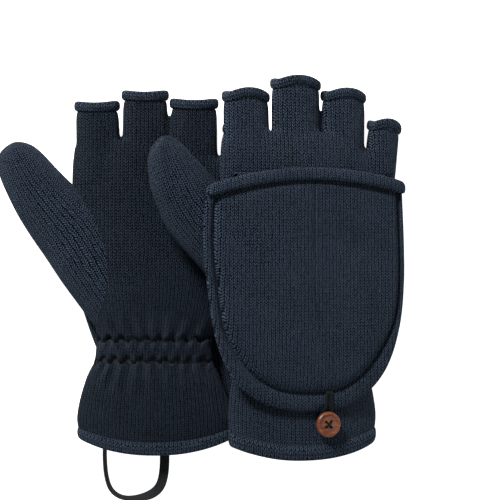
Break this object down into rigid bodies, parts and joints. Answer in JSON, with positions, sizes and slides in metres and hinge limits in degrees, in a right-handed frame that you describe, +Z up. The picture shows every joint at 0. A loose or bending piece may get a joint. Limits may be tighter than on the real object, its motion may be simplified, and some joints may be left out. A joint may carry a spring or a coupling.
{
  "type": "convertible flip-top mittens",
  "caption": "Pair of knitted fingerless gloves whose mitten caps flip back over the hand and loop onto a wooden cuff button.",
  "frame": {"origin": "middle of the pair's bounding box, at its lowest level, where the pair rests on a flat surface", "axes": "+Z up from the surface the pair lies on, +Y towards the fingertips, +X from the left-hand glove to the right-hand glove"},
  "size_m": [0.2472, 0.2641, 0.0623],
  "materials": {
    "knit_back": "matte jersey knit",
    "knit_palm": "matte jersey knit",
    "knit_hem": "turned jersey knit",
    "elastic_band": "woven elastic",
    "elastic_cord": "braided elastic",
    "woven_tape": "ribbed grosgrain",
    "button_wood": "satin",
    "sewing_thread": "spun thread"
  },
  "bodies": {
    "left_glove": {"left_back_panel": "knit_back", "left_palm_panel": "knit_palm", "left_thumb_back": "knit_back", "left_thumb_palm": "knit_palm", "left_index_hem": "knit_hem", "left_middle_hem": "knit_hem", "left_ring_hem": "knit_hem", "left_little_hem": "knit_hem", "left_cuff_hem": "knit_hem", "left_wrist_elastic": "elastic_band", "left_knuckle_welt": "knit_hem", "left_button": "button_wood", "left_button_thread": "sewing_thread"},
    "left_cap": {"left_cap_back": "knit_back", "left_cap_loop": "elastic_cord"},
    "left_cap_front": {"left_cap_palm": "knit_back", "left_cap_hem": "knit_hem"},
    "hanging_loop": {"left_hanging_loop": "woven_tape"},
    "right_glove": {"right_back_panel": "knit_back", "right_palm_panel": "knit_palm", "right_thumb_back": "knit_back", "right_thumb_palm": "knit_palm", "right_index_hem": "knit_hem", "right_middle_hem": "knit_hem", "right_ring_hem": "knit_hem", "right_little_hem": "knit_hem", "right_cuff_hem": "knit_hem", "right_wrist_elastic": "elastic_band", "right_knuckle_welt": "knit_hem", "right_button": "button_wood", "right_button_thread": "sewing_thread"},
    "right_cap": {"right_cap_back": "knit_back", "right_cap_loop": "elastic_cord"},
    "right_cap_front": {"right_cap_palm": "knit_back", "right_cap_hem": "knit_hem"}
  },
  "joints": [
    {"name": "right_glove_lift", "type": "slide", "parent": "left_glove", "child": "right_glove", "axis": [0, 0, 1], "range_m": [0, 0.09]},
    {"name": "left_cap_flip", "type": "hinge", "parent": "left_glove", "child": "left_cap", "pos_m": [-0.03344, 0.0495, 0.0093], "axis": [0.9954, 0.0958, 0], "range_deg": [0, 179], "deforming": ["left_cap_palm", "left_cap_hem", "left_cap_loop"]},
    {"name": "left_cap_mouth", "type": "hinge", "parent": "left_cap", "child": "left_cap_front", "pos_m": [-0.00857, -0.08372, 0.0082], "axis": [-0.9816, -0.1908, 0], "range_deg": [0, 14]},
    {"name": "hanging_loop_swing", "type": "hinge", "parent": "left_glove", "child": "hanging_loop", "pos_m": [-0.04544, -0.1186, 0.02255], "axis": [1, 0, 0], "range_deg": [-50, 55]},
    {"name": "right_cap_flip", "type": "hinge", "parent": "right_glove", "child": "right_cap", "pos_m": [0.06364, 0.0545, 0.03978], "axis": [-0.9511, 0, 0.309], "range_deg": [0, 179], "deforming": ["right_cap_palm", "right_cap_hem", "right_cap_loop"]},
    {"name": "right_cap_mouth", "type": "hinge", "parent": "right_cap", "child": "right_cap_front", "pos_m": [0.06298, -0.08102, 0.04115], "axis": [0.9511, 0, -0.309], "range_deg": [0, 14]}
  ],
  "couplings": [
    {"joint": "left_cap_mouth", "follows": "left_cap_flip", "ratio": 0.07813},
    {"joint": "right_cap_mouth", "follows": "right_cap_flip", "ratio": 0.07813}
  ]
}
